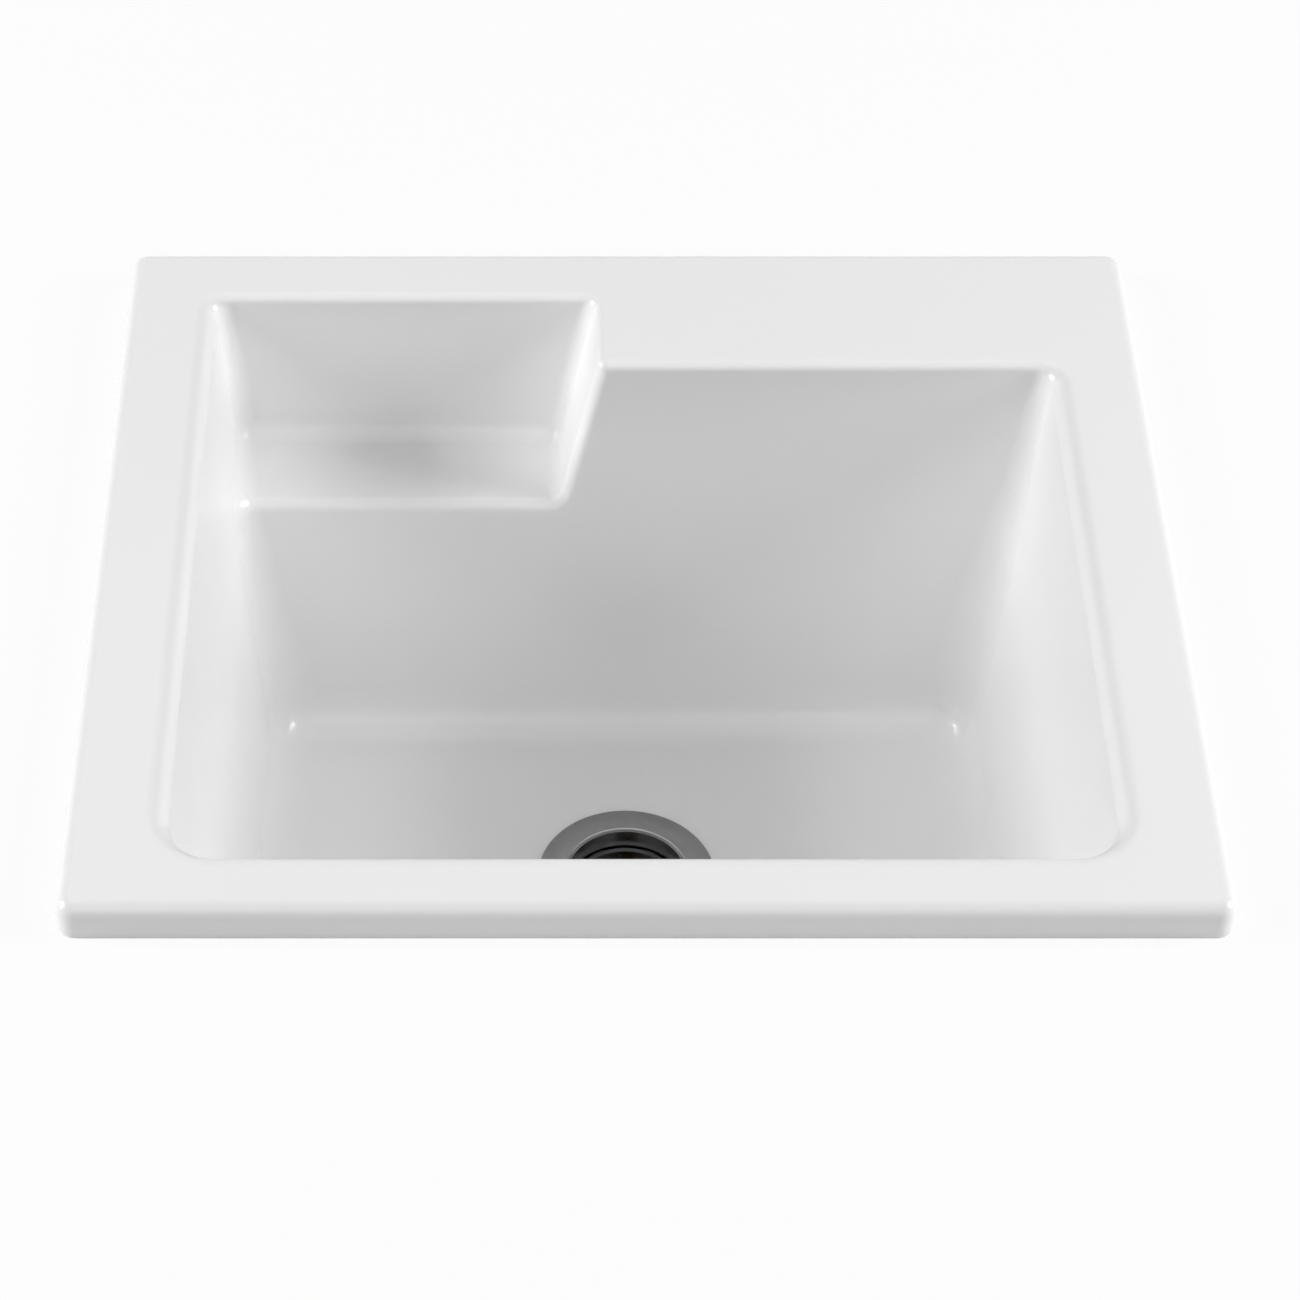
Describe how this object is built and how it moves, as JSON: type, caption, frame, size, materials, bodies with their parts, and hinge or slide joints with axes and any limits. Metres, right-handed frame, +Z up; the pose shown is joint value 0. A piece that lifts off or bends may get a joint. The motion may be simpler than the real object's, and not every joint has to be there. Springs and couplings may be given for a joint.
{
  "type": "laundry sink",
  "caption": "Drop-in laundry sink in glossy white acrylic: deep tapered bowl, wide flat rim, soap shelf let into the back-left corner, and a basket strainer drain.",
  "frame": {"origin": "centre of the rim's underside, in the plane of the worktop that the rim rests on", "axes": "+Z up, +X to the right and +Y to the back as seen by a person standing in front of the sink"},
  "size_m": [0.635, 0.559, 0.4688],
  "materials": {
    "acrylic": "gloss white",
    "fibreglass": "sprayed glass fibre in resin",
    "polished_steel": "polished stainless steel",
    "satin_steel": "satin stainless steel",
    "brass": "raw turned brass",
    "zinc": "die-cast zinc alloy, grey",
    "black_rubber": "matt black",
    "fibre_board": "pressed fibre",
    "white_plastic": "natural white nylon"
  },
  "bodies": {
    "sink": {"sink_shell": "acrylic", "fibreglass_backing": "fibreglass", "strainer_body": "polished_steel", "strainer_spider": "satin_steel", "flange_seal": "black_rubber", "under_gasket": "black_rubber", "friction_ring": "fibre_board", "locknut": "zinc", "tailpiece_washer": "white_plastic", "tailpiece": "polished_steel", "coupling_nut": "zinc"},
    "basket": {"basket_cup": "polished_steel", "basket_post": "brass", "basket_knob": "polished_steel", "stopper": "black_rubber", "stopper_washer": "satin_steel", "stopper_nut": "brass", "catch_ring": "white_plastic"}
  },
  "joints": [
    {"name": "basket_lift", "type": "slide", "parent": "sink", "child": "basket", "axis": [0, 0, 1], "range_m": [0, 0.36]}
  ]
}
